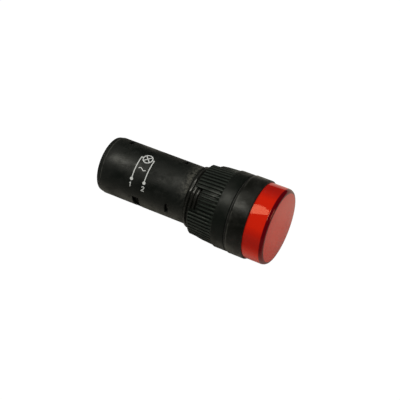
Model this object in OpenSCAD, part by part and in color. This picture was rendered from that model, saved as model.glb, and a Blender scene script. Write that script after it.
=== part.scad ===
// Panel pilot light: red lens, bezel with threaded barrel, ribbed mounting nut
// and a snap-on rear casing with two recessed screw terminals.
// The axis runs along Y. The lens faces -Y, the terminals face +Y, and y = 0 is
// the plane of the panel that the gasket seals against.

/* [Bezel and gasket] */
// Outer diameter of the bezel
bezel_d = 19.75; // [19:0.05:22]
// Thickness of the bezel
bezel_t = 4.35; // [4:0.05:6]
// Width of the bezel's rim outside the thread
bezel_rim_w = 1.975; // [1.5:0.025:3]
// Edge radius of the bezel
bezel_edge_r = 0.3; // [0.1:0.05:0.6]
// Step from the bezel in to the gasket
gasket_step = 0.25; // [0.1:0.05:0.6]
// Thickness of the gasket
gasket_t = 0.4; // [0.3:0.05:1.5]

/* [Lens] */
// Step from the bezel in to the lens
lens_step = 0.375; // [0.1:0.025:0.8]
// How far the lens stands out of the bezel
lens_out = 5.25; // [3.5:0.05:8]
// Width of the rounded edge of the lens face
lens_edge_w = 0.75; // [0.3:0.05:1.5]
// Drop of the rounded edge of the lens face
lens_edge_h = 1.15; // [0.3:0.05:1.25]
// Thickness of the lens face and of its spigot
lens_wall = 1.3; // [0.8:0.1:1.8]
// Width of the shoulder by which the lens sits on the bezel
lens_shoulder_w = 1.1; // [0.8:0.1:1.5]
// Length of the lens spigot inside the bezel
lens_spigot_l = 2.2; // [1.6:0.1:2.4]
// Thickness of the diffuser disc
diffuser_t = 0.8; // [0.5:0.1:1.2]

/* [Barrel] */
// Depth of the two moulding flats on the thread
flat_depth = 0.175; // [0.1:0.025:0.4]
// Turn of the flats about the axis, from the right towards the top
flat_turn = 115; // [0:5:175]
// Length of the thread behind the panel plane
thread_l = 12.1; // [11.6:0.1:16]
// Depth of the light-board seat behind the panel plane
board_seat_y = 4; // [3:0.1:5]
// Width of the seat that carries the light board
board_seat_w = 0.5; // [0.3:0.05:0.7]
// Wall of the snap spigot inside the casing
spigot_wall = 0.75; // [0.6:0.05:0.9]
// Length of the snap spigot
spigot_l = 6.6; // [6:0.1:7]

/* [Nut] */
// Step from the bezel in to the smooth collar
collar_step = 0.125; // [0:0.025:0.5]
// Width of the smooth collar
nut_collar_l = 3.3; // [2:0.1:5]
// Whole length of the nut
nut_l = 10.15; // [8:0.05:11]
// Step from the collar in to the rib crests
rib_step = 0.2; // [0.1:0.05:0.5]
// Drop of the rib crests towards the rear rim
rib_draft = 0.4; // [0:0.05:0.6]
// Number of grip ribs
rib_count = 60; // [40:2:80]
// Depth of the grooves between the ribs
rib_depth = 0.42; // [0.2:0.02:0.6]
// Bevel round the rear ends of the ribs
rib_bevel = 0.45; // [0.1:0.05:0.8]
// Number of wrench notches in the rear rim
notch_count = 4; // [2:1:6]
// Angular width of a notch
notch_angle = 36; // [20:1:50]
// Depth of a notch
notch_depth = 1.9; // [0.8:0.1:3]
// Turn of the first notch about the axis
notch_turn = 136; // [90:1:180]

/* [Casing] */
// Length of the casing
casing_l = 24.5; // [23:0.1:30]
// Wall of the casing
casing_wall = 0.85; // [0.7:0.05:0.95]
// Width of the chamfer round the rear rim
casing_chamfer_w = 0.3; // [0.1:0.05:0.6]
// Length of the chamfer round the rear rim
casing_chamfer_l = 1.2; // [0.3:0.05:1.5]

/* [Latch windows] */
// Distance of the three barrel latches behind the front rim of the casing
latch_in = 4.6; // [3:0.1:5.4]
// Length of a barrel latch window along the axis
latch_window_l = 1.0; // [0.8:0.1:1.6]
// Angular width of a barrel latch window
latch_window_angle = 22; // [14:1:30]
// Turn of the first barrel latch
latch_turn = 60; // [0:5:120]
// Distance of the two block latches behind the front of the block
block_latch_in = 1.5; // [1.2:0.1:3]
// Length of a block latch window along the axis
block_window_l = 1.9; // [1.4:0.1:2.4]
// Angular width of a block latch window
block_window_angle = 45; // [30:1:60]
// Turn of the first block latch
block_latch_turn = 24; // [0:1:60]
// Distance of the two test windows in front of the rear rim
test_in = 4.5; // [3:0.1:6]
// Length of a test window along the axis
test_window_l = 1.0; // [0.6:0.1:1.6]
// Angular width of a test window
test_window_angle = 20; // [10:1:30]
// Turn of the first test window
test_turn = 63.6; // [45:0.2:80]
// Height of a latch nose inside its window
latch_nose_h = 0.1; // [0.05:0.05:0.4]
// Width of the saw cuts beside each latch tongue
tongue_cut_angle = 7; // [4:1:10]

/* [Light board] */
// Thickness of both circuit boards
board_t = 1.0; // [0.8:0.1:1.2]
// Number of light-emitting diodes
led_count = 4; // [3:1:4]
// Lens diameter of a diode
led_d = 3.0; // [2:0.1:3.2]
// Height of a diode above its board
led_h = 4.2; // [3.4:0.1:4.6]
// Width of the flange round the foot of a diode
led_flange_w = 0.2; // [0.1:0.05:0.3]
// Height of the flange of a diode
led_flange_h = 0.8; // [0.5:0.1:1.2]
// Diameter of the circle that the diodes stand on
led_circle_d = 7.0; // [6.4:0.1:7.4]

/* [Driver board] */
// Space between the two boards
board_space = 1.0; // [0.6:0.1:1.2]
// Width of the driver board
driver_w = 10.6; // [9.8:0.1:11.2]
// Depth of the slot that holds the driver board in the terminal block
driver_slot = 1.0; // [0.6:0.1:1.4]
// Length of the film capacitor along the board
film_l = 5.8; // [5:0.1:6.4]
// Width of the film capacitor
film_w = 6.0; // [4:0.1:6.4]
// Height of the film capacitor
film_h = 3.7; // [2:0.1:3.9]
// Diameter of the smoothing capacitor
can_d = 4.0; // [3:0.1:4.2]
// Length of the smoothing capacitor
can_l = 7.0; // [5:0.1:7.4]
// Length of the bridge rectifier along the board
bridge_l = 4.7; // [3.8:0.1:5]
// Width of the bridge rectifier body
bridge_w = 3.8; // [3:0.1:4.4]
// Height of the bridge rectifier
bridge_h = 2.4; // [1.6:0.1:2.6]
// Diameter of a resistor body
resistor_d = 1.9; // [1.6:0.1:2.2]
// Length of a resistor body
resistor_l = 4.2; // [3:0.1:4.6]
// Distance of each resistor from the centre line
resistor_x = 2.4; // [2:0.1:3]
// Length of each resistor lead before its bend
resistor_lead_l = 0.8; // [0.5:0.1:1]
// Width of a square board pin
pin_w = 0.5; // [0.4:0.05:0.6]
// Distance of a board pin from the centre line
pin_x = 1.9; // [1.2:0.1:2.4]
// Diameter of a lead wire
wire_d = 0.8; // [0.6:0.1:0.9]
// Length of each lead wire along the driver board
wire_on_board = 2.2; // [1.6:0.1:3]

/* [Terminals] */
// Depth of the terminal face below the rear rim
well_depth = 7.2; // [6.4:0.1:8]
// Length of the terminal block
block_l = 5.5; // [5:0.1:6.2]
// Thickness of the barrier between the terminals
barrier_t = 1.0; // [0.8:0.1:1.1]
// Depth of the barrier's rear edge below the rear rim
barrier_in = 0.6; // [0.2:0.1:2]
// Space between the barrier and each terminal plate
plate_in = 0.6; // [0.4:0.05:0.8]
// Rim of the block outside the corners of a terminal plate
plate_edge = 0.32; // [0.2:0.02:0.6]
// Thickness of a terminal plate
plate_t = 0.8; // [0.6:0.1:1]
// Step from a terminal plate in to its wire clamp
clamp_step = 0.1; // [0.05:0.05:0.3]
// Thickness of a wire clamp
clamp_t = 0.7; // [0.5:0.1:0.9]
// Thread diameter of a terminal screw
screw_d = 2.4; // [2:0.1:2.7]
// Length of a terminal screw under its head
screw_l = 4.1; // [3:0.1:4.6]
// Head diameter of a terminal screw
screw_head_d = 4.0; // [3.6:0.1:4.4]
// Head height of a terminal screw
screw_head_h = 1.6; // [1.2:0.1:1.8]
// Width of the cross slots in a screw head
slot_w = 0.6; // [0.4:0.1:0.8]
// Depth of the cross slots in a screw head
slot_d = 0.8; // [0.5:0.1:1]

/* [Clearances] */
// Play between the nut and the gasket
nut_gap = 0.03; // [0.01:0.01:0.2]
// Play of the nut over the thread
nut_thread_gap = 0.1; // [0.05:0.05:0.3]
// Play of the gasket round the barrel
gasket_gap = 0.05; // [0.02:0.01:0.2]
// Play of the lens spigot in the bezel
lens_gap = 0.1; // [0.05:0.05:0.2]
// Play between the end of the lens spigot and the floor of its recess
spigot_end_gap = 0.3; // [0.1:0.1:0.5]
// Play of the barrel spigot and the terminal block in the casing
casing_gap = 0.1; // [0.05:0.05:0.15]
// Play of a latch nose in its window, along the axis
latch_gap = 0.2; // [0.05:0.05:0.3]
// Play of a board in its seat
board_gap = 0.05; // [0.02:0.01:0.1]
// Play of the driver board in the barrel
board_side_gap = 0.3; // [0.1:0.05:0.5]
// Play under each wire clamp and each screw head
clamp_gap = 0.05; // [0.02:0.01:0.1]
// Play of a screw in its plate
thread_gap = 0.06; // [0.04:0.01:0.1]
// Play of a screw in the block
screw_hole_gap = 0.15; // [0.1:0.05:0.3]
// Plastic between a screw hole and a wire hole in the block
wire_web = 0.1; // [0.05:0.05:0.3]

/* [Hidden] */
$fn = 96;
LEDS = [for (i = [1 : led_count]) str("led_", i)];

// Head and nut, stepped in from the bezel
bezel_r = bezel_d / 2;
lens_r = bezel_r - lens_step;
gasket_r = bezel_r - gasket_step;
collar_r = bezel_r - collar_step;
rib_front_r = collar_r - rib_step;
rib_rear_r = rib_front_r - rib_draft;
thread_r = bezel_r - bezel_rim_w;
nut_bore_r = thread_r + nut_thread_gap;
spigot_out_r = lens_r - lens_shoulder_w;
spigot_in_r = spigot_out_r - lens_wall;

// Barrel and casing, built outwards from the driver board
bore_r = norm([driver_w / 2, board_t / 2]) + board_side_gap;
light_board_r = bore_r + board_seat_w;
spigot_r = bore_r + spigot_wall;
casing_bore_r = spigot_r + casing_gap;
casing_r = casing_bore_r + casing_wall;
block_r = casing_bore_r - casing_gap;
latch_r = casing_bore_r + latch_nose_h;

// Stations along the axis
bezel_rear_y = -gasket_t;
bezel_front_y = bezel_rear_y - bezel_t;
lens_front_y = bezel_front_y - lens_out;
diffuser_y = bezel_front_y + lens_spigot_l + spigot_end_gap;
casing_y = thread_l;
spigot_end_y = thread_l + spigot_l;
rim_y = casing_y + casing_l;
terminal_y = rim_y - well_depth;
block_y = terminal_y - block_l;
barrier_end_y = rim_y - barrier_in;
latch_y = casing_y + latch_in;
block_latch_y = block_y + block_latch_in;
test_y = rim_y - test_in;
clamp_y = terminal_y + clamp_gap;
head_y = clamp_y + clamp_t + clamp_gap;
screw_end_y = head_y - screw_l;
light_board_y = board_seat_y - board_t;
driver_y = board_seat_y + board_space;
driver_end_y = block_y + driver_slot;

// Each terminal plate is the largest square that fits beside the barrier
plate_start_x = barrier_t / 2 + plate_in;
plate_reach_r = block_r - plate_edge;
plate_w = (sqrt(5 * pow(plate_reach_r, 2) - pow(plate_start_x, 2)) - 2 * plate_start_x) / 2.5;
clamp_w = plate_w - 2 * clamp_step;
terminal_x = plate_start_x + plate_w / 2;

// Places on the driver board
pin_z = (board_t + pin_w) / 2;
pin_l = 2;
film_y = driver_y + pin_l + 1;
bridge_y = driver_y + 1.4;
can_y = bridge_y + bridge_l + 1;
resistor_y = film_y + film_l + 2 * resistor_lead_l;
wire_r = wire_d / 2;
screw_r = screw_d / 2;
wire_x = terminal_x - screw_r - screw_hole_gap - wire_web - wire_r - board_gap;
wire_z = board_t / 2 + wire_r;

// Overlap that keeps cuts clean
eps = 0.01;

// A solid of revolution about the Y axis from [radius, y] points
module turned(points) {
    rotate([-90, 0, 0])
        rotate_extrude()
            polygon(points);
}

// A round bar along Y from y0 to y1
module rod(y0, y1, r) {
    translate([0, y0, 0])
        rotate([-90, 0, 0])
            cylinder(h = y1 - y0, r = r);
}

// A sector of a ring, centred on a turn about the axis
module sector(y0, y1, r_in, r_out, angle, turn) {
    rotate([0, -turn, 0])
        translate([0, y0, 0])
            rotate([-90, 0, 0])
                rotate([0, 0, -angle / 2])
                    rotate_extrude(angle = angle)
                        translate([r_in, 0])
                            square([r_out - r_in, y1 - y0]);
}

// A box from its lowest to its highest corner
module block(low, high) {
    translate(low)
        cube(high - low);
}

// Red lens: a flat-faced cap with a steep rounded edge and a spigot
module lens() {
    cavity_y = lens_front_y + lens_wall;
    spigot_end = bezel_front_y + lens_spigot_l;
    w = lens_edge_w;
    h = lens_edge_h;
    edge = [for (a = [0 : 15 : 90]) [lens_r - w + w * sin(a), lens_front_y + h - h * cos(a)]];
    color([0.76, 0.13, 0.05])
        turned(concat(
            [[0, lens_front_y]], edge,
            [[lens_r, bezel_front_y], [spigot_out_r, bezel_front_y], [spigot_out_r, spigot_end],
             [spigot_in_r, spigot_end], [spigot_in_r, cavity_y], [0, cavity_y]]));
}

// Diffuser disc on the floor of the bezel's recess
module diffuser() {
    color([0.93, 0.92, 0.88])
        rod(diffuser_y - diffuser_t, diffuser_y, spigot_in_r - lens_gap);
}

// Outline of the bezel and barrel in one moulding
module bezel_outline() {
    e = bezel_edge_r;
    front = [for (a = [0 : 15 : 90]) [bezel_r - e + e * sin(a), bezel_front_y + e - e * cos(a)]];
    rear = [for (a = [90 : 15 : 180]) [bezel_r - e + e * sin(a), bezel_rear_y - e - e * cos(a)]];
    turned(concat(
        [[0, bezel_front_y]], front, rear,
        [[thread_r, bezel_rear_y], [thread_r, thread_l], [spigot_r, thread_l],
         [spigot_r, spigot_end_y], [0, spigot_end_y]]));
}

// Bezel and threaded barrel with flats, board seat and three latch tongues
module bezel_barrel() {
    latch_l = latch_window_l - 2 * latch_gap;
    latch_angle = latch_window_angle - 6;
    color([0.12, 0.12, 0.11])
        difference() {
            union() {
                bezel_outline();
                for (i = [0 : 2])
                    sector(latch_y - latch_l / 2, latch_y + latch_l / 2, bore_r, latch_r,
                           latch_angle, latch_turn + 120 * i);
            }
            rod(bezel_front_y - eps, diffuser_y, spigot_out_r + lens_gap);
            rod(diffuser_y - eps, board_seat_y, light_board_r + board_gap);
            rod(board_seat_y - eps, spigot_end_y + eps, bore_r);
            for (side = [0, 180])
                rotate([0, -flat_turn - side, 0])
                    block([thread_r - flat_depth, 0, -thread_r],
                          [thread_r + 1, thread_l + eps, thread_r]);
            for (i = [0 : 2], side = [-1, 1])
                sector(thread_l + 1, spigot_end_y + eps, bore_r - 1, thread_r, tongue_cut_angle,
                       latch_turn + 120 * i + side * (latch_window_angle / 2 + tongue_cut_angle));
        }
}

// Rubber gasket between the bezel and the panel
module panel_gasket() {
    hole_r = thread_r + gasket_gap;
    edge = gasket_t / 4;
    color([0.07, 0.07, 0.07])
        turned([
            [hole_r, bezel_rear_y], [gasket_r - edge, bezel_rear_y], [gasket_r, bezel_rear_y + edge],
            [gasket_r, -edge], [gasket_r - edge, 0], [hole_r, 0]]);
}

// One period of the ribbed outline: groove floor, flank, crest, flank
function rib_points(r) =
    let (step = 360 / rib_count)
    [for (i = [0 : rib_count - 1], k = [[0.00, 1], [0.20, 1], [0.34, 0], [0.78, 0]])
        let (a = (i + k[0]) * step, d = r - k[1] * rib_depth)
        [d * cos(a), d * sin(a)]];

// Outline that the ribs lie within: the drafted crests and the bevel at their rear ends
module rib_outline() {
    turned([
        [0, nut_collar_l - eps], [collar_r, nut_collar_l - eps], [collar_r, nut_l - rib_bevel],
        [rib_rear_r, nut_l - rib_bevel], [rib_rear_r - rib_bevel, nut_l], [0, nut_l]]);
}

// Mounting nut: smooth collar, drafted grip ribs and wrench notches
module mounting_nut() {
    edge = 0.15;
    lead_in = 0.3;
    color([0.11, 0.12, 0.11])
        difference() {
            union() {
                turned([
                    [0, nut_gap], [collar_r - edge, nut_gap], [collar_r, nut_gap + edge],
                    [collar_r, nut_collar_l - edge], [collar_r - edge, nut_collar_l],
                    [0, nut_collar_l]]);
                intersection() {
                    rib_outline();
                    translate([0, nut_collar_l - eps, 0])
                        rotate([-90, 0, 0])
                            linear_extrude(height = nut_l - nut_collar_l + eps,
                                           scale = rib_rear_r / rib_front_r)
                                polygon(rib_points(rib_front_r));
                }
            }
            rod(-eps, nut_l + 1, nut_bore_r);
            turned([
                [0, nut_l - lead_in], [nut_bore_r - eps, nut_l - lead_in],
                [nut_bore_r + lead_in + eps, nut_l + eps], [0, nut_l + eps]]);
            for (i = [0 : notch_count - 1])
                sector(nut_l - notch_depth, nut_l + 1, nut_bore_r - 1, collar_r + 1,
                       notch_angle, notch_turn + i * 360 / notch_count);
        }
}

// Rear casing: a tube with latch windows and a bevelled rim
module rear_casing() {
    color([0.13, 0.13, 0.12])
        difference() {
            turned([
                [casing_bore_r, casing_y], [casing_r, casing_y], [casing_r, rim_y - casing_chamfer_l],
                [casing_r - casing_chamfer_w, rim_y], [casing_bore_r, rim_y]]);
            for (i = [0 : 2])
                sector(latch_y - latch_window_l / 2, latch_y + latch_window_l / 2, casing_bore_r - 1,
                       casing_r + 1, latch_window_angle, latch_turn + 120 * i);
            for (i = [0, 1]) {
                sector(block_latch_y - block_window_l / 2, block_latch_y + block_window_l / 2,
                       casing_bore_r - 1, casing_r + 1, block_window_angle, block_latch_turn + 180 * i);
                sector(test_y - test_window_l / 2, test_y + test_window_l / 2,
                       casing_bore_r - 1, casing_r + 1, test_window_angle, test_turn + 180 * i);
            }
        }
}

// Round board that carries the diodes, with its pin holes
module led_board() {
    color([0.88, 0.88, 0.84])
        difference() {
            rod(light_board_y, board_seat_y, light_board_r);
            for (side = [-1, 1])
                translate([side * pin_x, 0, pin_z])
                    rod(light_board_y - eps, board_seat_y + eps, pin_w / 2 * sqrt(2));
        }
}

// One diode: flange, body and domed tip, facing the lens
module led(index) {
    r = led_d / 2;
    color([0.85, 0.2, 0.15, 0.8])
        rotate([0, -45 - 360 / led_count * (index - 1), 0])
            translate([led_circle_d / 2, 0, 0])
                union() {
                    rod(light_board_y - led_h + r, light_board_y, r);
                    rod(light_board_y - led_flange_h, light_board_y, r + led_flange_w);
                    translate([0, light_board_y - led_h + r, 0])
                        sphere(r = r);
                }
}

// Driver board along the axis
module driver_board() {
    color([0.1, 0.35, 0.2])
        block([-driver_w / 2, driver_y, -board_t / 2], [driver_w / 2, driver_end_y, board_t / 2]);
}

// Square pins that join the two boards
module board_pin(side) {
    color([0.8, 0.7, 0.4])
        block([side * pin_x - pin_w / 2, light_board_y, board_t / 2],
              [side * pin_x + pin_w / 2, driver_y + pin_l, board_t / 2 + pin_w]);
}

// Film capacitor on the driver board's upper face
module film_capacitor() {
    edge = 0.5;
    color([0.75, 0.55, 0.15])
        translate([0, film_y, board_t / 2])
            rotate([-90, 0, 0])
                linear_extrude(height = film_l)
                    polygon([
                        [-film_w / 2, 0], [film_w / 2, 0], [film_w / 2, edge - film_h],
                        [film_w / 2 - edge, -film_h], [edge - film_w / 2, -film_h],
                        [-film_w / 2, edge - film_h]]);
}

// Bridge rectifier on the driver board's lower face, with four legs
module bridge_rectifier() {
    leg_w = 0.6;
    leg_l = 0.7;
    leg_t = 0.3;
    face_z = -board_t / 2;
    color([0.1, 0.1, 0.1])
        block([-bridge_w / 2, bridge_y, face_z - bridge_h],
              [bridge_w / 2, bridge_y + bridge_l, face_z - leg_t / 3]);
    color([0.75, 0.75, 0.75])
        for (side = [-1, 1], y = [bridge_y + leg_l, bridge_y + bridge_l - leg_l - leg_w])
            translate([side * (bridge_w / 2 + leg_l / 3), y, face_z - leg_t])
                block([-leg_l / 2, 0, 0], [leg_l / 2, leg_w, leg_t]);
}

// Smoothing capacitor lying on the driver board's lower face
module smoothing_capacitor() {
    r = can_d / 2;
    groove = 0.25;
    color([0.15, 0.2, 0.45])
        translate([0, 0, -board_t / 2 - r])
            turned([
                [0, can_y], [r, can_y], [r, can_y + 4 * groove], [r - groove, can_y + 5 * groove],
                [r, can_y + 6 * groove], [r, can_y + can_l - groove], [r - groove, can_y + can_l],
                [0, can_y + can_l]]);
}

// Resistor with its bent leads, beside the centre line
module resistor(side) {
    r = resistor_d / 2;
    lead_r = 0.25;
    z = board_t / 2 + r;
    color([0.75, 0.65, 0.5])
        translate([side * resistor_x, 0, z]) {
            rod(resistor_y, resistor_y + resistor_l, r);
            rod(resistor_y - resistor_lead_l, resistor_y + resistor_l + resistor_lead_l, lead_r);
            for (y = [resistor_y - resistor_lead_l, resistor_y + resistor_l + resistor_lead_l])
                translate([0, y, -r])
                    cylinder(h = r + lead_r, r = lead_r);
        }
}

// Wire between a terminal plate and the driver board
module lead_wire(side) {
    color([0.8, 0.8, 0.8])
        translate([side * wire_x, 0, wire_z])
            rod(block_y - wire_on_board, terminal_y - plate_t, wire_r);
}

// Terminal block: a disc with a board slot, plate pockets, latches and a barrier
module terminal_block() {
    latch_l = block_window_l - 2 * latch_gap;
    barrier_h = block_r - 2 * latch_gap;
    plate_h = plate_w / 2 + board_gap;
    color([0.2, 0.2, 0.19])
        difference() {
            union() {
                rod(block_y, terminal_y, block_r);
                block([-barrier_t / 2, terminal_y - 1, -barrier_h],
                      [barrier_t / 2, barrier_end_y, barrier_h]);
                for (i = [0, 1])
                    sector(block_latch_y - latch_l / 2, block_latch_y + latch_l / 2, block_r - 1,
                           latch_r, block_window_angle - 6, block_latch_turn + 180 * i);
            }
            block([-driver_w / 2 - board_gap, block_y - 1, -board_t / 2 - board_gap],
                  [driver_w / 2 + board_gap, driver_end_y + board_gap, board_t / 2 + board_gap]);
            for (side = [-1, 1]) {
                translate([side * terminal_x, 0, 0]) {
                    rod(screw_end_y - 0.2, terminal_y + eps, screw_r + screw_hole_gap);
                    block([-plate_h, terminal_y - plate_t, -plate_h], [plate_h, terminal_y + eps, plate_h]);
                }
                translate([side * wire_x, 0, wire_z])
                    rod(block_y - 1, terminal_y, wire_r + board_gap);
            }
        }
}

// Terminal plate with its threaded hole
module terminal_plate(side) {
    h = plate_w / 2;
    color([0.8, 0.68, 0.35])
        translate([side * terminal_x, 0, 0])
            difference() {
                block([-h, terminal_y - plate_t, -h], [h, terminal_y, h]);
                rod(terminal_y - plate_t - eps, terminal_y + eps, screw_r + thread_gap);
            }
}

// Square wire clamp under a screw head
module wire_clamp(side) {
    h = clamp_w / 2;
    color([0.75, 0.75, 0.72])
        translate([side * terminal_x, 0, 0])
            difference() {
                block([-h, clamp_y, -h], [h, clamp_y + clamp_t, h]);
                rod(clamp_y - eps, clamp_y + clamp_t + eps, screw_r + thread_gap);
            }
}

// Terminal screw with a cross-slotted cheese head
module terminal_screw(side) {
    head_end_y = head_y + screw_head_h;
    head_r = screw_head_d / 2;
    color([0.8, 0.8, 0.78])
        translate([side * terminal_x, 0, 0])
            difference() {
                turned([
                    [0, screw_end_y], [screw_r - 0.3, screw_end_y], [screw_r, screw_end_y + 0.3],
                    [screw_r, head_y], [head_r, head_y], [head_r, head_end_y - 0.3],
                    [head_r - 0.3, head_end_y], [0, head_end_y]]);
                block([-head_r - 1, head_end_y - slot_d, -slot_w / 2],
                      [head_r + 1, head_end_y + 1, slot_w / 2]);
                block([-slot_w / 2, head_end_y - slot_d, -1.2], [slot_w / 2, head_end_y + 1, 1.2]);
            }
}

lens();
diffuser();
bezel_barrel();
panel_gasket();
mounting_nut();
rear_casing();
led_board();
for (i = [1 : led_count])
    led(i);
driver_board();
board_pin(1);  // board_pin_1
board_pin(-1);  // board_pin_2
film_capacitor();
bridge_rectifier();
smoothing_capacitor();
resistor(1);  // resistor_1
resistor(-1);  // resistor_2
terminal_block();
terminal_plate(1);  // terminal_plate_1
terminal_plate(-1);  // terminal_plate_2
lead_wire(1);  // lead_wire_1
lead_wire(-1);  // lead_wire_2
wire_clamp(1);  // wire_clamp_1
wire_clamp(-1);  // wire_clamp_2
terminal_screw(1);  // terminal_screw_1
terminal_screw(-1);  // terminal_screw_2
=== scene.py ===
# %% [markdown]
# # A panel pilot light
# A small signal lamp for a control panel: a red lens in a black bezel, a rubber
# gasket, a threaded barrel with a ribbed nut, and a smooth rear casing.
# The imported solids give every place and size. Each visible moulding is made again
# here as one fine surface, worked out with numpy, and then given its finish.

import math

import bpy
import numpy as np
from mathutils import Matrix, Vector


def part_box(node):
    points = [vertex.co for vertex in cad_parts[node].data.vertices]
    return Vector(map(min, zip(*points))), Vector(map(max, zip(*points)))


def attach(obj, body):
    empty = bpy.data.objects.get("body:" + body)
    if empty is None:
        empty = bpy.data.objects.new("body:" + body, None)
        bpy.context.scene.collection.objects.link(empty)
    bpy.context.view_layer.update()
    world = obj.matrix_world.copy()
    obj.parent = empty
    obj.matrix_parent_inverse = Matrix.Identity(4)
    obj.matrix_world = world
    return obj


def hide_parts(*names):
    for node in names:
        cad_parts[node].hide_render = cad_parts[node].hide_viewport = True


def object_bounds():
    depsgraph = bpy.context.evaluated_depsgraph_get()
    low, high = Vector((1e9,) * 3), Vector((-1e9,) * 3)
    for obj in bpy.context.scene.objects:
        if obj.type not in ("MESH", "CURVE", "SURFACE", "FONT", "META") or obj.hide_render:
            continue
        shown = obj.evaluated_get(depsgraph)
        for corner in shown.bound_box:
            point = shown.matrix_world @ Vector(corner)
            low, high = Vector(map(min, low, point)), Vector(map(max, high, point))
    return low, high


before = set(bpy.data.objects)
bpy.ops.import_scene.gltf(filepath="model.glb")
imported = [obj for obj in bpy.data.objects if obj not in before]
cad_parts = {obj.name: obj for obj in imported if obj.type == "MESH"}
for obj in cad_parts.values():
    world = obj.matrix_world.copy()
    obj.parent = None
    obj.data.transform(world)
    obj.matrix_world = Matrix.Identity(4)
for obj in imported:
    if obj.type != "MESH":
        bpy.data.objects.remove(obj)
cad_low, cad_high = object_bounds()
print("solids' box in mm:", [round(v * 1000, 2) for v in (*cad_low, *cad_high)])

# %% [markdown]
# ## The main stations
# The light's axis is the Y axis and the lens faces -Y. The stations along the axis
# are read from the solids, so that a change of size there carries over to here.

# %% Stations and radii, in metres
MM = 0.001
lens_low, lens_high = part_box("lens")
bezel_low, bezel_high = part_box("bezel_barrel")
gasket_low, gasket_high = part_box("panel_gasket")
nut_low, nut_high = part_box("mounting_nut")
casing_low, casing_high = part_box("rear_casing")
_, diffuser_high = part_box("diffuser")
_, led_board_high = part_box("led_board")

LENS_R = lens_high.x
BEZEL_R = bezel_high.x
GASKET_R = gasket_high.x
NUT_R = nut_high.x
CASING_R = casing_high.x
THREAD_R = 7.9 * MM
THREAD_PITCH = 1.0 * MM
THREAD_DEPTH = 0.45 * MM
FLAT_DEPTH = 0.175 * MM
CASING_WALL = 0.85 * MM
CASING_BORE_R = CASING_R - CASING_WALL
SPIGOT_R = CASING_BORE_R - 0.1 * MM
BARREL_BORE_R = SPIGOT_R - 0.75 * MM
print("lens, bezel, nut and casing radii in mm:",
      [round(r / MM, 2) for r in (LENS_R, BEZEL_R, NUT_R, CASING_R)])

# %% [markdown]
# ## Turns about the axis
# A turn is counted from +X towards +Z. The latches, flats and notches sit at their
# own turns, so each is one named angle in degrees. The three barrel latches lie a
# third of a turn apart. The windows of the other two kinds lie half a turn apart.

# %% Turns, in degrees
FLAT_TURN = 115.0
NOTCH_TURN = 136.0
NOTCH_ANGLE = 36.0
NOTCH_COUNT = 4
LATCH_TURN = 60.0
BLOCK_LATCH_TURN = 24.0
TEST_TURN = 63.6
PRINT_TURN = 131.9
print("turns of the flats, notch, latch and print in degrees:",
      (FLAT_TURN, NOTCH_TURN, LATCH_TURN, PRINT_TURN))

# %% [markdown]
# ## From arrays to a mesh
# Every surface below is a grid of points: rows run along a profile, columns run
# round the axis. Two helpers turn such a grid into faces and put the arrays into a
# Blender mesh in one call each, which is far quicker than a loop over vertices.

# %% Grid faces
def grid_faces(rows, cols, wrap_rows=False, wrap_cols=False):
    """Quads between neighbouring grid points.

    A quad is (i, j), (i+1, j), (i+1, j+1), (i, j+1), where point (i, j) is i * cols + j.
    """
    i = np.arange(rows if wrap_rows else rows - 1)
    j = np.arange(cols if wrap_cols else cols - 1)
    i, j = np.meshgrid(i, j, indexing="ij")
    i2, j2 = (i + 1) % rows, (j + 1) % cols
    quads = np.stack([i * cols + j, i2 * cols + j, i2 * cols + j2, i * cols + j2], axis=-1)
    return quads.reshape(-1, 4)


print("faces of a 3 by 4 grid:", len(grid_faces(3, 4)))

# %% [markdown]
# A piece may hold several closed shells. Each is turned so that its faces point
# outwards, which the sign of its volume tells, and then all are joined in one mesh.

# %% Shells
def joined(shells):
    """One vertex array and one face list from several (points, faces) shells.

    A shell's indices move on by the number of points in the shells before it.
    """
    points, faces, start = [], [], 0
    for shell_points, shell_faces in shells:
        points.append(shell_points)
        faces.extend((np.asarray(f) + start).tolist() for f in shell_faces)
        start += len(shell_points)
    return np.concatenate(points), faces


def signed_volume(points, faces):
    """Sum over the triangles of each face fan of a . (b x c) / 6.

    It is positive when the faces point outwards.
    """
    total = 0.0
    for size in sorted({len(f) for f in faces}):
        same = np.array([f for f in faces if len(f) == size])
        for k in range(1, size - 1):
            a, b, c = points[same[:, 0]], points[same[:, k]], points[same[:, k + 1]]
            total += np.einsum("ij,ij->", a, np.cross(b, c)) / 6.0
    return total


def outward(points, faces):
    """The same closed shell, with its faces turned round if they point inwards."""
    faces = [list(f) for f in faces]
    if signed_volume(points, faces) < 0:
        faces = [f[::-1] for f in faces]
    return points, faces


cube_corner = np.array([[0, 0, 0], [1, 0, 0], [0, 1, 0], [0, 0, 1]], float)
cube_corner_faces = [[0, 2, 1], [0, 1, 3], [0, 3, 2], [1, 2, 3]]
print("volume of the corner of a cube, which is a sixth:",
      round(float(signed_volume(cube_corner, cube_corner_faces)), 4))

# %% [markdown]
# One function makes every piece: it joins the shells, keeps the sharp edges sharp, hangs the piece
# on the body it rides on, and hides the solid it stands for.

# %% Mesh pieces
def piece(name, shells, body, node=None, smooth=32.0):
    """A mesh object from closed shells, riding on a body of the model.

    Its faces are smooth, and edges sharper than the smooth angle, in degrees, stay sharp.
    """
    points, faces = joined([outward(p, f) for p, f in shells])
    mesh = bpy.data.meshes.new(name)
    mesh.from_pydata(points.tolist(), [], faces)
    mesh.polygons.foreach_set("use_smooth", np.ones(len(mesh.polygons), bool))
    mesh.set_sharp_from_angle(angle=math.radians(smooth))
    mesh.validate()
    made = bpy.data.objects.new(name, mesh)
    bpy.context.scene.collection.objects.link(made)
    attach(made, body)
    if node:
        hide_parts(node)
    print(f"{name}: {len(points)} points, {len(faces)} faces")
    return made


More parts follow.
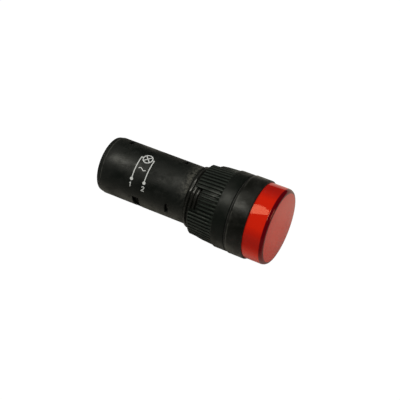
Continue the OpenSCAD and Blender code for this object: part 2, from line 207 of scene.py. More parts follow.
# %% [markdown]
# ## Profiles and turning
# A turned part is a profile of [radius, y] corners carried round the axis. Real
# mouldings have no knife edges, so each corner that shows is rounded first.

# %% Rounded profiles
def rounded(corners, steps=5, closed=True):
    """Replaces each [r, y, radius] corner by an arc of that radius.

    Where the legs meet at an angle of 2 half, the arc leaves each leg at
    radius / tan(half) from the corner, and its centre lies at radius / sin(half).
    """
    corners = [np.array(c, float) for c in corners]
    out = []
    for k, corner in enumerate(corners):
        here, fillet = corner[:2], corner[2] if len(corner) > 2 else 0.0
        inner = closed or 0 < k < len(corners) - 1
        if fillet <= 0 or not inner:
            out.append(here)
            continue
        a = corners[k - 1][:2] - here
        b = corners[(k + 1) % len(corners)][:2] - here
        a, b = a / np.linalg.norm(a), b / np.linalg.norm(b)
        half = math.acos(np.clip(a @ b, -1, 1)) / 2
        centre = here + (a + b) / np.linalg.norm(a + b) * fillet / math.sin(half)
        start = here + a * fillet / math.tan(half) - centre
        end = here + b * fillet / math.tan(half) - centre
        swing = math.pi - 2 * half
        for u in np.linspace(0, 1, steps + 1):
            arm = math.sin((1 - u) * swing) * start + math.sin(u * swing) * end
            out.append(centre + arm / math.sin(swing))
    return np.array(out)


print("points of a square with rounded corners:",
      len(rounded([[1, 0, 0.1], [2, 0, 0.1], [2, 1, 0.1], [1, 1, 0.1]])))

# %% [markdown]
# A profile that closes on itself, such as a tube's, is carried round the axis as a
# grid that wraps both ways, so it has no seam.

# %% Turned pieces
ROUND_COLS = 256


def around(radius, y, turn):
    """Points at a radius, a station y and a turn in radians.

    x = radius * cos(turn) and z = radius * sin(turn).
    """
    radius, y, turn = np.broadcast_arrays(radius, y, turn)
    return np.stack([radius * np.cos(turn), y, radius * np.sin(turn)], axis=-1).reshape(-1, 3)


def turned(profile, cols=ROUND_COLS):
    """A closed profile carried round the axis: a grid that wraps both ways."""
    turn = np.linspace(0, 2 * math.pi, cols, endpoint=False)
    points = around(profile[:, 0:1], profile[:, 1:2], turn[None, :])
    return points, grid_faces(len(profile), cols, True, True).tolist()


print("columns round a turned piece:", ROUND_COLS)

# %% [markdown]
# Two more surfaces come from a profile: one whose ends lie on the axis, such as a
# cap, and a block that goes only part of the way round, such as a latch.

# %% Caps and blocks round the axis
def turned_to_axis(profile, cols=ROUND_COLS):
    """A profile whose two ends lie on the axis.

    It is a grid, with a fan of triangles round one point at each end.
    """
    turn = np.linspace(0, 2 * math.pi, cols, endpoint=False)
    body = profile[1:-1]
    rows = len(body)
    points = around(body[:, 0:1], body[:, 1:2], turn[None, :])
    poles = np.array([[0, profile[0, 1], 0], [0, profile[-1, 1], 0]])
    ring = np.arange(cols)
    nxt = (ring + 1) % cols
    last = (rows - 1) * cols
    faces = grid_faces(rows, cols, False, True).tolist()
    faces += np.stack([np.full(cols, rows * cols), ring, nxt], 1).tolist()
    faces += np.stack([np.full(cols, rows * cols + 1), last + nxt, last + ring], 1).tolist()
    return np.concatenate([points, poles]), faces


def ring_sector(y0, y1, r0, r1, angle, turn, cols=24):
    """A closed block bent round the axis.

    Its four corners in [radius, y] are carried through an angle and closed by two quads.
    """
    a = np.radians(np.linspace(turn - angle / 2, turn + angle / 2, cols))
    r = np.array([r0, r1, r1, r0])[:, None]
    y = np.array([y0, y0, y1, y1])[:, None]
    faces = grid_faces(4, cols, True, False).tolist()
    ends = np.arange(4) * cols
    return around(r, y, a[None, :]), faces + [ends.tolist(), (ends[::-1] + cols - 1).tolist()]


print("faces of a block round the axis:", len(ring_sector(0, 1, 1, 2, 30, 0)[1]))

# %% [markdown]
# ## The lens
# The lens is a thick red cap. Its face is flat, its side wall is straight, and a
# steep rounded edge joins them, which reads as a deep red ring. It could be a
# cylinder with a Bevel modifier, but this edge is far taller than it is wide, so
# the profile follows a quarter of an ellipse.

# %% Lens
LENS_EDGE_W = 0.75 * MM
LENS_EDGE_H = 1.15 * MM
LENS_WALL = 1.3 * MM
LENS_SHOULDER_W = 1.1 * MM
LENS_REAR_EDGE = 0.08 * MM
LENS_FOOT_EDGE = 0.05 * MM
LENS_SPIGOT_EDGE = 0.1 * MM
LENS_INNER_EDGE = 0.4 * MM
lens_front = lens_low.y
bezel_front = bezel_low.y
spigot_out = LENS_R - LENS_SHOULDER_W
spigot_in = spigot_out - LENS_WALL
edge_turn = np.linspace(0, math.pi / 2, 13)
lens_edge = np.stack([LENS_R - LENS_EDGE_W * (1 - np.sin(edge_turn)),
                      lens_front + LENS_EDGE_H * (1 - np.cos(edge_turn))], axis=1)
lens_profile = rounded([
    [0, lens_front], [LENS_R * 0.5, lens_front], *lens_edge.tolist(),
    [LENS_R, bezel_front, LENS_REAR_EDGE],
    [spigot_out, bezel_front, LENS_FOOT_EDGE], [spigot_out, lens_high.y, LENS_SPIGOT_EDGE],
    [spigot_in, lens_high.y, LENS_SPIGOT_EDGE],
    [spigot_in, lens_front + LENS_WALL, LENS_INNER_EDGE],
    [0, lens_front + LENS_WALL]], closed=False)
lens = piece("lens_cap", [turned_to_axis(lens_profile)], "light", "lens")

# %% [markdown]
# ## The gasket
# The gasket is a flat rubber ring between the bezel and the panel. A moulded ring
# has soft edges, so its two outer corners are rounded before it is turned.

# %% Gasket
GASKET_HOLE_R = THREAD_R + 0.05 * MM
GASKET_EDGE = 0.15 * MM
gasket_profile = rounded([
    [GASKET_HOLE_R, gasket_low.y], [GASKET_R, gasket_low.y, GASKET_EDGE],
    [GASKET_R, gasket_high.y, GASKET_EDGE], [GASKET_HOLE_R, gasket_high.y]])
gasket = piece("gasket_ring", [turned(gasket_profile)], "light", "panel_gasket")

# %% [markdown]
# ## Bezel and barrel, with a real thread
# Bezel and barrel are one moulding. A Screw modifier could carry a small profile
# along the thread, but such a helix ends abruptly. Here the radius itself follows a
# helix: it falls from the crest to the root as the station and the turn go round
# together, and fades to the plain barrel at both ends. Two moulding flats run along it.

# %% The thread
THREAD_WAVE_TOP = 1.35
THREAD_WAVE_SLOPE = 4.0
THREAD_FADE_IN = 0.3 * MM
THREAD_FADE_OUT = 0.2 * MM
THREAD_END_DEPTH = 0.2
FLAT_REACH = 30


def thread_radius(y, turn, start, end):
    """Crest radius - depth * wave * fade, or the flat's own radius where that is less.

    The wave is a triangle of y / pitch - turn / 2 pi, clipped to 0..1, and a flat at a
    distance d from the axis has the radius d / cos(turn away from its middle).
    """
    phase = (y / THREAD_PITCH - turn / (2 * math.pi)) % 1.0
    wave = np.clip(THREAD_WAVE_TOP - np.abs(phase - 0.5) * THREAD_WAVE_SLOPE, 0.0, 1.0)
    fade = (np.clip((y - start) / THREAD_FADE_IN, 0, 1)
            * np.clip((end - y) / THREAD_FADE_OUT + THREAD_END_DEPTH, 0, 1))
    r = THREAD_R - THREAD_DEPTH * wave * fade
    off = (np.degrees(turn) - FLAT_TURN + 90.0) % 180.0 - 90.0
    flat = (THREAD_R - FLAT_DEPTH) / np.cos(np.radians(np.clip(off, -FLAT_REACH, FLAT_REACH)))
    return np.minimum(r, flat)


print("thread pitch and depth in mm:", (THREAD_PITCH / MM, THREAD_DEPTH / MM))

# %% [markdown]
# The barrel is a closed profile whose rows are close together along the thread, so
# that the helix is smooth there. Only those rows take the thread's radius.

# %% Bezel and barrel
barrel_end = casing_low.y
spigot_end = bezel_high.y
recess_y = diffuser_high.y
seat_y = led_board_high.y
seat_r = led_board_high.x + 0.05 * MM
recess_r = spigot_out + 0.1 * MM
BEZEL_EDGE = 0.3 * MM
BEZEL_LIP_EDGE = 0.1 * MM
SPIGOT_SOLID_L = 1.0 * MM
LEAD_IN = 0.25 * MM
THREAD_START = 0.15 * MM
ROWS_PER_PITCH = 14
thread_y = np.arange(THREAD_START, barrel_end - LEAD_IN, THREAD_PITCH / ROWS_PER_PITCH)
outer = rounded([
    [BARREL_BORE_R, seat_y], [seat_r, seat_y], [seat_r, recess_y], [recess_r, recess_y],
    [recess_r, bezel_front, BEZEL_LIP_EDGE], [BEZEL_R, bezel_front, BEZEL_EDGE],
    [BEZEL_R, gasket_low.y, BEZEL_EDGE], [THREAD_R, gasket_low.y], [THREAD_R, 0]], closed=False)
inner = np.array([
    [THREAD_R - LEAD_IN, barrel_end], [SPIGOT_R, barrel_end],
    [SPIGOT_R, barrel_end + SPIGOT_SOLID_L], [BARREL_BORE_R, barrel_end + SPIGOT_SOLID_L]])
rows_y = np.concatenate([outer[:, 1], thread_y, inner[:, 1]])
rows_r = np.concatenate([outer[:, 0], np.full(len(thread_y), THREAD_R), inner[:, 0]])
BARREL_COLS = 288
turns = np.linspace(0, 2 * math.pi, BARREL_COLS, endpoint=False)[None, :]
radii = np.repeat(rows_r[:, None], BARREL_COLS, axis=1)
threaded = slice(len(outer), len(outer) + len(thread_y))
radii[threaded] = thread_radius(rows_y[threaded][:, None], turns, 0.0, barrel_end)
barrel_shell = (around(radii, rows_y[:, None], turns),
                grid_faces(len(rows_y), BARREL_COLS, True, True).tolist())
print("rows of the barrel, and of its thread:", len(rows_y), len(thread_y))

# %% [markdown]
# Behind the thread the barrel ends in three spring tongues between slits. Each has a
# latch nose that snaps into a window of the casing. They are blocks bent round the
# axis, and belong to the same moulding.

# %% Latch tongues
LATCH_Y, LATCH_L, LATCH_ANGLE = 16.7 * MM, 0.6 * MM, 16.0
LATCH_NOSE_H = 0.1 * MM
SLIT_ANGLE, SLIT_OFF = 7.0, 18.0
tongue_start = barrel_end + SPIGOT_SOLID_L
shells = [barrel_shell]
for k in range(3):
    latch = LATCH_TURN + 120 * k
    tongue = 2 * SLIT_OFF - SLIT_ANGLE
    wall = 120 - 2 * SLIT_OFF - SLIT_ANGLE
    shells.append(ring_sector(tongue_start, spigot_end, BARREL_BORE_R, SPIGOT_R, tongue, latch))
    shells.append(ring_sector(tongue_start, spigot_end, BARREL_BORE_R, SPIGOT_R, wall, latch + 60))
    shells.append(ring_sector(LATCH_Y - LATCH_L / 2, LATCH_Y + LATCH_L / 2, SPIGOT_R,
                              CASING_BORE_R + LATCH_NOSE_H, LATCH_ANGLE, latch))
barrel = piece("bezel_and_barrel", shells, "light", "bezel_barrel", smooth=38)

# %% [markdown]
# ## The mounting nut
# The nut is the hardest moulding: a smooth collar, sixty drafted ribs that fade to
# the rear rim, and four notches for a wrench. Boolean modifiers could cut it from a
# solid, but one grid makes it all, with the edges already rounded and no cut faces to
# clean up. First come its sizes and the wave that the ribs follow.

# %% Sizes of the nut
RIBS = 60
RIB_STEPS = 14
RIB_DEPTH = 0.42 * MM
RIB_FRONT_R = NUT_R - 0.2 * MM
RIB_REAR_R = RIB_FRONT_R - 0.4 * MM
RIB_CREST_LEVEL = 0.32
RIB_STEEPNESS = 2.1
nut_front, nut_rear = nut_low.y, nut_high.y
COLLAR_L = 3.3 * MM - nut_front
RIB_SLOPE = (RIB_REAR_R - RIB_FRONT_R) / (nut_rear - nut_front - COLLAR_L)
NUT_BORE_R = 8.0 * MM
NOTCH_DEPTH = 1.9 * MM
notch_floor = nut_rear - NOTCH_DEPTH


def rib_wave(turn_deg):
    """0 on a rib's crest and 1 in a groove.

    It is a cosine of the rib count times the turn, steepened and clipped to 0..1.
    """
    wave = 0.5 + 0.5 * np.cos(np.radians(turn_deg) * RIBS)
    return np.clip((wave - RIB_CREST_LEVEL) * RIB_STEEPNESS, 0.0, 1.0)


print("draft of the ribs, mm in radius for each mm of length:", round(RIB_SLOPE, 3))

# %% [markdown]
# The grid's columns follow the ribs, with two more at each wall of a notch so that
# the wall stands straight. Its rows follow the nut's profile, set close together.

# %% Columns and rows of the nut
NOTCH_WALL = 0.25
BORE_EDGE = 0.1 * MM
BORE_BEVEL = 0.3 * MM
COLLAR_FRONT_EDGE = 0.18 * MM
COLLAR_REAR_EDGE = 0.12 * MM
RIM_EDGE = 0.42 * MM
ROW_STEP = 0.7 * MM


def nut_columns():
    """Turns of the columns in degrees.

    They are even steps, but two at each notch wall take the place of those near it.
    """
    even = np.linspace(0, 360, RIBS * RIB_STEPS, endpoint=False)
    walls = [NOTCH_TURN + k * 360 / NOTCH_COUNT + side * (NOTCH_ANGLE / 2 + off)
             for k in range(NOTCH_COUNT) for side in (-1, 1)
             for off in (-NOTCH_WALL / 2, NOTCH_WALL / 2)]
    walls = np.mod(walls, 360)
    near = np.min(np.abs((even[:, None] - walls[None, :] + 180) % 360 - 180), axis=1)
    return np.sort(np.concatenate([even[near > NOTCH_WALL], walls]))


def nut_rows():
    """[radius, y] of the rows: the rounded profile, its legs cut to about the row step."""
    profile = rounded([
        [NUT_BORE_R, nut_front, BORE_EDGE], [NUT_R, nut_front, COLLAR_FRONT_EDGE],
        [NUT_R, nut_front + COLLAR_L, COLLAR_REAR_EDGE], [RIB_FRONT_R, nut_front + COLLAR_L, 0.0],
        [RIB_REAR_R, nut_rear, RIM_EDGE], [NUT_BORE_R + BORE_BEVEL, nut_rear, BORE_EDGE],
        [NUT_BORE_R, nut_rear - BORE_BEVEL, 0.0]])
    span = np.diff(np.vstack([profile, profile[:1]]), axis=0)
    length = np.hypot(span[:, 0], span[:, 1])
    rows = []
    for point, step, size in zip(profile, span, length):
        count = max(1, int(round(size / ROW_STEP)))
        rows.extend(point + step * u for u in np.arange(count) / count)
    return np.array(rows)


print("columns and rows of the nut:", len(nut_columns()), len(nut_rows()))

# %% [markdown]
# The ribs lower the radius behind the collar. In a notch, the rows at the rear end
# are drawn in to the notch floor, so the notch goes through ribs and wall alike.

# %% Mounting nut
RIB_START_L = 0.02 * MM
NOTCH_DRAW_L = 1.5 * MM


def nut_shell():
    """The nut's closed surface.

    A rib's radius is the least of the profile's and crest - depth * wave. In a notch,
    the stations behind its draw start are scaled so that the rear rim meets the floor.
    """
    deg, rows = nut_columns(), nut_rows()
    sector = 360 / NOTCH_COUNT
    in_notch = np.abs((deg - NOTCH_TURN + sector / 2) % sector - sector / 2) < NOTCH_ANGLE / 2
    r, y = rows[:, 0:1], rows[:, 1:2]
    crest = RIB_FRONT_R + RIB_SLOPE * (y - nut_front - COLLAR_L)
    ribbed = np.clip((y - nut_front - COLLAR_L) / RIB_START_L, 0, 1) * (r > crest - RIB_DEPTH)
    depth = RIB_DEPTH * ribbed * rib_wave(deg)[None, :]
    rr = np.minimum(r, crest - depth) * (ribbed > 0) + r * (ribbed <= 0)
    start = notch_floor - NOTCH_DRAW_L
    squeeze = (notch_floor - start) / (nut_rear - start)
    yy = np.where(in_notch[None, :] & (y > start), start + (y - start) * squeeze, y)
    points = around(rr, yy, np.radians(deg)[None, :])
    return points, grid_faces(len(rows), len(deg), True, True).tolist()


nut = piece("ribbed_nut", [nut_shell()], "nut", "mounting_nut", smooth=28)

# %% [markdown]
# ## The rear casing
# The casing is a smooth tube with seven small windows through its wall. Booleans
# could cut them, but can leave long thin faces beside a window. Instead, its two
# skins share a lattice of turns and stations with a line at each window edge. The
# cells inside a window are left out, and wall quads close the rim.

# %% Windows of the casing
LATCH_WINDOW_L, LATCH_WINDOW_ANGLE = 1.0 * MM, 22.0
BLOCK_WINDOW_Y, BLOCK_WINDOW_L, BLOCK_WINDOW_ANGLE = 25.4 * MM, 1.9 * MM, 45.0
TEST_WINDOW_Y, TEST_WINDOW_L, TEST_WINDOW_ANGLE = 32.1 * MM, 1.0 * MM, 20.0
windows = [(LATCH_Y, LATCH_WINDOW_L, LATCH_TURN + 120 * k, LATCH_WINDOW_ANGLE) for k in range(3)]
windows += [(BLOCK_WINDOW_Y, BLOCK_WINDOW_L, BLOCK_LATCH_TURN + 180 * k, BLOCK_WINDOW_ANGLE)
            for k in range(2)]
windows += [(TEST_WINDOW_Y, TEST_WINDOW_L, TEST_TURN + 180 * k, TEST_WINDOW_ANGLE)
            for k in range(2)]


def lattice(lines, low, high, step, wrap=False):
    """All window lines, with even lines between them wherever a gap is wider than the step."""
    marks = sorted(set(np.round(lines, 9)) | ({low} if wrap else {low, high}))
    marks = marks + [marks[0] + (high - low)] if wrap else marks
    out = []
    for a, b in zip(marks[:-1], marks[1:]):
        count = max(1, int(math.ceil((b - a) / step - 1e-9)))
        out.extend(a + (b - a) * np.arange(count) / count)
    return np.array(out if wrap else out + [high])


print("windows in the casing:", len(windows))

# %% [markdown]
# An edge that only one kept face uses lies on a rim, at a window or at an end of the
# tube. A quad from there to the inner skin makes the thickness of the wall.

# %% Rear casing
CHAMFER_W, CHAMFER_L = 0.3 * MM, 1.2 * MM
FRONT_STEP = 0.05 * MM
CASING_TURN_STEP = 1.5
CASING_Y_STEP = 1.2 * MM
TINY = 1e-6


def casing_shell():
    """Two skins on one lattice, with quads between them at each rim.

    A cell is left out where its middle lies in a window. The outer radius falls by the
    chamfer's width over its length at the rear end.
    """
    turn_lines = [(t + side * a / 2) % 360 for _, _, t, a in windows for side in (-1, 1)]
    y_lines = [y + side * length / 2 for y, length, _, _ in windows for side in (-1, 1)]
    shoulder = casing_high.y - CHAMFER_L
    deg = lattice(turn_lines, 0.0, 360.0, CASING_TURN_STEP, wrap=True)
    y = lattice(y_lines + [shoulder], casing_low.y, casing_high.y, CASING_Y_STEP)
    outer_r = np.where(y > shoulder, CASING_R - CHAMFER_W * (y - shoulder) / CHAMFER_L, CASING_R)
    outer_r = np.where(y < casing_low.y + TINY, CASING_R - FRONT_STEP, outer_r)
    rows, cols = len(y), len(deg)
    turn = np.radians(deg)[None, :]
    points = np.concatenate([around(outer_r[:, None], y[:, None], turn),
                             around(CASING_BORE_R, y[:, None], turn)])
    y_mid = (y[:-1] + y[1:]) / 2
    deg_mid = deg + np.diff(np.append(deg, deg[0] + 360)) / 2
    open_cell = np.zeros((rows - 1, cols), bool)
    for wy, length, t, a in windows:
        in_turn = np.abs((deg_mid - t + 180) % 360 - 180) < a / 2
        open_cell |= (np.abs(y_mid - wy) < length / 2)[:, None] & in_turn[None, :]
    quads = grid_faces(rows, cols, False, True).reshape(rows - 1, cols, 4)
    skin = rows * cols
    kept = quads[~open_cell]
    faces = kept.tolist() + (kept[:, ::-1] + skin).tolist()
    edges = np.stack([kept, np.roll(kept, -1, axis=1)], axis=-1).reshape(-1, 2)
    key = np.sort(edges, axis=1)
    _, index, count = np.unique(key[:, 0] * skin + key[:, 1], return_index=True, return_counts=True)
    rim = edges[index[count == 1]]
    faces += np.stack([rim[:, 1], rim[:, 0], rim[:, 0] + skin, rim[:, 1] + skin], 1).tolist()
    used = np.unique(np.concatenate([np.asarray(f) for f in faces]))
    renumber = np.full(len(points), -1)
    renumber[used] = np.arange(len(used))
    return points[used], [renumber[f].tolist() for f in faces]


casing = piece("casing_tube", [casing_shell()], "light", "rear_casing", smooth=30)

# %% [markdown]
# A moulded edge is never knife-sharp, so a small Bevel modifier softens the window
# edges and both ends of the tube. Its angle limit leaves the round wall alone.

# %% Soft edges of the casing
bevel = casing.modifiers.new("soft edges", "BEVEL")
bevel.width = 0.09 * MM
bevel.segments = 2
bevel.limit_method = "ANGLE"
bevel.angle_limit = math.radians(29)
print("bevel width in mm:", round(bevel.width / MM, 3))

# %% [markdown]
# ## The print on the casing
# The casing carries a pale print: the sign for a lamp in a circuit, its two leads,
# the wave that stands for alternating current, and the terminals' numbers. Each line
# is a thin ribbon, laid along a path on the unrolled casing and wrapped round it.

# %% Ribbons of ink
INK_T = 0.012 * MM
INK_W = 0.25 * MM
INK_ROOT = 0.02 * MM


def ribbon(path, width=INK_W, closed=False):
    """A closed strip along (u, y) points, wrapped round the casing.

    It lies half the width to the left and right of the path, at two heights. A point's
    turn is the print's turn + u / radius, and a bend widens by 1 / cos(half its angle).
    """
    path = np.array(path, float)
    ahead = np.roll(path, -1, axis=0) - path
    behind = path - np.roll(path, 1, axis=0)
    if not closed:
        ahead[-1], behind[0] = behind[-1], ahead[0]
    a = ahead / np.linalg.norm(ahead, axis=1)[:, None]
    b = behind / np.linalg.norm(behind, axis=1)[:, None]
    mean = (a + b) / np.linalg.norm(a + b, axis=1)[:, None]
    reach = (width / 2) / np.clip((mean * a).sum(1), 0.5, 1)[:, None]
    side = np.stack([-mean[:, 1], mean[:, 0]], axis=1) * reach
    left, right = path + side, path - side
    r = CASING_R + np.array([-INK_ROOT, INK_T])
    flat = [(left, r[0]), (left, r[1]), (right, r[1]), (right, r[0])]
    rows = [around(h, p[:, 1], math.radians(PRINT_TURN) + p[:, 0] / CASING_R) for p, h in flat]
    n = len(path)
    faces = grid_faces(4, n, True, closed).tolist()
    if not closed:
        ends = np.arange(4) * n
        faces += [ends.tolist(), (ends[::-1] + n - 1).tolist()]
    return np.concatenate(rows), faces


print("line width and thickness in mm:", (INK_W / MM, INK_T / MM))

# %% [markdown]
# A straight ribbon with two points would cut through the round casing, so each path
# has points close together.

# %% Paths on the unrolled casing
def dense(path, step=0.12 * MM):
    """The same path with extra points, none further apart than the step."""
    path = np.array(path, float)
    runs = []
    for a, b in zip(path[:-1], path[1:]):
        count = 1 + int(math.ceil(np.linalg.norm(b - a) / step))
        runs.append(np.linspace(a, b, count)[:-1])
    return np.concatenate(runs + [path[-1:]])


def arc(centre, radius, start, end, count=48):
    """Points on a circle in the unrolled plane, from one angle to another in degrees."""
    a = np.radians(np.linspace(start, end, count))
    return np.stack([centre[0] + radius * np.cos(a), centre[1] + radius * np.sin(a)], axis=1)


def line(start, end, count=12):
    """Evenly spaced points from start to end, so that a long line can bend with the casing."""
    return np.linspace(np.array(start, float), np.array(end, float), count)


print("points on a path 1 mm long:", len(dense([(0, 0), (MM, 0)])))

# %% [markdown]
# The lamp is a circle with a cross. A lead runs from each side of it to a dot, where
# a terminal is. Beyond each dot stands the terminal's number, a few strokes long.

# %% Lamp sign and leads
LAMP_Y = 25.2 * MM
LAMP_R = 1.2 * MM
LAMP_U = -4.45 * MM
LEAD_OFF = 1.75 * MM
DOT_U = 1.2 * MM
DOT_R = 0.42 * MM
# A closed ribbon nearly as wide as its own radius fills the dot
DOT_FILL = 0.98
ink = [ribbon(arc((LAMP_U, LAMP_Y), LAMP_R, 0, 360, 65)[:-1], closed=True)]
for tilt in (45, 135):
    reach = LAMP_R * np.array([math.cos(math.radians(tilt)), math.sin(math.radians(tilt))])
    ink.append(ribbon(line((LAMP_U, LAMP_Y) - reach, (LAMP_U, LAMP_Y) + reach)))
for side in (-1, 1):
    end_y = LAMP_Y + side * LEAD_OFF
    stub = line((LAMP_U, LAMP_Y + side * LAMP_R), (LAMP_U, end_y + side * INK_W / 2), 4)
    dot = arc((DOT_U + DOT_R, end_y), DOT_R / 2, 0, 360, 33)[:-1]
    ink.append(ribbon(stub))
    ink.append(ribbon(line((LAMP_U, end_y), (DOT_U, end_y), 24)))
    ink.append(ribbon(dot, DOT_R * DOT_FILL, closed=True))
print("ribbons in the sign:", len(ink))

# %% [markdown]
# The numbers are strokes between a few points, in millimetres from their middle. The
# wave is one full swing of a sine between the two leads.

# %% Numbers and wave
LABEL_U = 3.1 * MM
LABEL_W = 0.18 * MM
one = [(-0.30, -0.28), (-0.55, 0.0), (0.55, 0.0)]
two = [(-0.28, -0.34), (-0.46, -0.26), (-0.55, -0.08), (-0.55, 0.12),
       (-0.40, 0.30), (-0.15, 0.30), (0.55, -0.36), (0.55, 0.38)]
for shape, end_y in ((one, LAMP_Y + LEAD_OFF), (two, LAMP_Y - LEAD_OFF)):
    ink.append(ribbon(dense([(LABEL_U + a * MM, end_y - b * MM) for a, b in shape]), LABEL_W))
WAVE_U, WAVE_L, WAVE_H, WAVE_W = -1.4 * MM, 2.0 * MM, 0.26 * MM, 0.2 * MM
swing = np.linspace(-math.pi, math.pi, 33)
wave_path = np.stack([WAVE_U - WAVE_H * np.sin(swing),
                      LAMP_Y + WAVE_L / 2 * swing / math.pi], axis=1)
ink.append(ribbon(wave_path, WAVE_W))
ink_print = piece("casing_print", ink, "light", None, smooth=30)

# %% [markdown]
# ## Shader groups
# Moulded plastic is never one flat value. A fine grain breaks up its gloss, faint
# scuffs dull it, and dust lightens it. Each effect is a node group, built once, and
# a material sets how much of it to take.

# %% Helper for node groups
def new_group(name, inputs, outputs):
    """A shader node group with named sockets, and its input and output nodes."""
    group = bpy.data.node_groups.new(name, "ShaderNodeTree")
    for label, kind, default in inputs:
        socket = group.interface.new_socket(name=label, in_out="INPUT", socket_type=kind)
        socket.default_value = default
    for label, kind in outputs:
        group.interface.new_socket(name=label, in_out="OUTPUT", socket_type=kind)
    return group, group.nodes.new("NodeGroupInput"), group.nodes.new("NodeGroupOutput")


print("node groups before the first one:", len(bpy.data.node_groups))

# %% [markdown]
# Sums on masks take many small nodes. These helpers add one each, in a group as in a
# material, and take sockets or plain numbers alike.

# %% Helpers for sums and mixes
def feed(tree, socket, value):
    """Links a socket to another socket, or sets it to a number."""
    if isinstance(value, (int, float)):
        socket.default_value = value
    else:
        tree.links.new(value, socket)


def math_node(tree, operation, a, b=0.0, clamp=False):
    """One Math node on two sockets or numbers."""
    node = tree.nodes.new("ShaderNodeMath")
    node.operation = operation
    node.use_clamp = clamp
    for socket, value in zip(node.inputs, (a, b)):
        feed(tree, socket, value)
    return node.outputs[0]


def remap(tree, value, low, high, to_low, to_high):
    """Maps a value from one range to another, clamped at both ends."""
    node = tree.nodes.new("ShaderNodeMapRange")
    for label, number in (("Value", value), ("From Min", low), ("From Max", high),
                          ("To Min", to_low), ("To Max", to_high)):
        feed(tree, node.inputs[label], number)
    return node.outputs["Result"]


def mix_colour(tree, mask, a, b):
    """Mixes two colours by a mask: a where it is 0, and b where it is 1."""
    node = tree.nodes.new("ShaderNodeMix")
    node.data_type = "RGBA"
    tree.links.new(mask, node.inputs["Factor"])
    for socket, value in ((node.inputs[6], a), (node.inputs[7], b)):
        if isinstance(value, tuple):
            socket.default_value = (*value, 1.0)
        else:
            tree.links.new(value, socket)
    return node.outputs[2]


print("helpers:", [helper.__name__ for helper in (math_node, remap, mix_colour)])

# %% [markdown]
# Every pattern here reads Object coordinates. A piece's object sits at the origin,
# so they are metres in the light's own frame, and the distance from the Y axis is
# the radius that a turned piece has at that place.

# %% Helpers for patterns
def noise(tree, coords, scale, detail=3.0, roughness=0.55):
    """A noise texture on the given coordinates, whose scale counts waves in a metre."""
    node = tree.nodes.new("ShaderNodeTexNoise")
    node.inputs["Scale"].default_value = scale
    node.inputs["Detail"].default_value = detail
    node.inputs["Roughness"].default_value = roughness
    tree.links.new(coords, node.inputs["Vector"])
    return node.outputs["Fac"]


def object_place(tree):
    """The Object coordinates, and then x, y and z on their own."""
    coords = tree.nodes.new("ShaderNodeTexCoord").outputs["Object"]
    split = tree.nodes.new("ShaderNodeSeparateXYZ")
    tree.links.new(coords, split.inputs[0])
    return coords, *split.outputs


def axis_radius(tree, x, z):
    """The distance from the Y axis: the square root of x * x + z * z."""
    squares = [math_node(tree, "MULTIPLY", side, side) for side in (x, z)]
    return math_node(tree, "SQRT", math_node(tree, "ADD", *squares))


print("helpers:", [helper.__name__ for helper in (noise, object_place, axis_radius)])

# %% [markdown]
# The first group is the moulded surface. Broad clouds and small specks hold the dust.
# Clouds, grain and wide smears make the gloss uneven. The offset moves the smears to
# where they lie on this light.

# %% The moulded-surface group
GRAIN_SCALE, CLOUD_SCALE, SPECK_SCALE, SMEAR_SCALE = 5200, 420, 2600, 95
CLOUD_DUST, SPECK_DUST = 0.35, 0.65
CLOUD_DULLS, GRAIN_DULLS = 0.26, 0.14
SMEAR_POLISHES, SMEAR_DULLS = -0.09, 0.16
MEAN_DULLING = 0.13
SMEAR_OFFSET = (-0.093, -0.077, -0.141)
moulded, m_in, m_out = new_group(
    "moulded surface",
    [("Colour", "NodeSocketColor", (0.03, 0.03, 0.03, 1)),
     ("Dust colour", "NodeSocketColor", (0.3, 0.3, 0.28, 1)),
     ("Dust", "NodeSocketFloat", 0.05), ("Roughness", "NodeSocketFloat", 0.4),
     ("Grain", "NodeSocketFloat", 0.1)],
    [("Colour", "NodeSocketColor"), ("Roughness", "NodeSocketFloat"),
     ("Height", "NodeSocketFloat")])
m_coords = moulded.nodes.new("ShaderNodeTexCoord").outputs["Object"]
fine = noise(moulded, m_coords, GRAIN_SCALE, 2.0)
broad = noise(moulded, m_coords, CLOUD_SCALE, 5.0, 0.62)
cloud = remap(moulded, broad, 0.46, 0.72, 0.0, 1.0)
speck = remap(moulded, noise(moulded, m_coords, SPECK_SCALE, 1.0), 0.66, 0.74, 0.0, 1.0)
dust = math_node(moulded, "ADD", math_node(moulded, "MULTIPLY", cloud, CLOUD_DUST),
                 math_node(moulded, "MULTIPLY", speck, SPECK_DUST))
dust = math_node(moulded, "MULTIPLY", dust, m_in.outputs["Dust"], clamp=True)
dusted = mix_colour(moulded, dust, m_in.outputs["Colour"], m_in.outputs["Dust colour"])
moulded.links.new(dusted, m_out.inputs["Colour"])

shifted = moulded.nodes.new("ShaderNodeVectorMath")
shifted.operation = "ADD"
shifted.inputs[1].default_value = SMEAR_OFFSET
moulded.links.new(m_coords, shifted.inputs[0])
smear = noise(moulded, shifted.outputs[0], SMEAR_SCALE, 1.5)
smear = remap(moulded, smear, 0.42, 0.60, SMEAR_POLISHES, SMEAR_DULLS)
uneven = math_node(moulded, "ADD", math_node(moulded, "MULTIPLY", cloud, CLOUD_DULLS),
                   math_node(moulded, "MULTIPLY", fine, GRAIN_DULLS))
uneven = math_node(moulded, "ADD", uneven, smear)
uneven = math_node(moulded, "SUBTRACT", uneven, MEAN_DULLING)
rough = math_node(moulded, "ADD", m_in.outputs["Roughness"], uneven)
moulded.links.new(rough, m_out.inputs["Roughness"])
relief = math_node(moulded, "MULTIPLY", fine, m_in.outputs["Grain"])
moulded.links.new(relief, m_out.inputs["Height"])
print("group:", moulded.name)
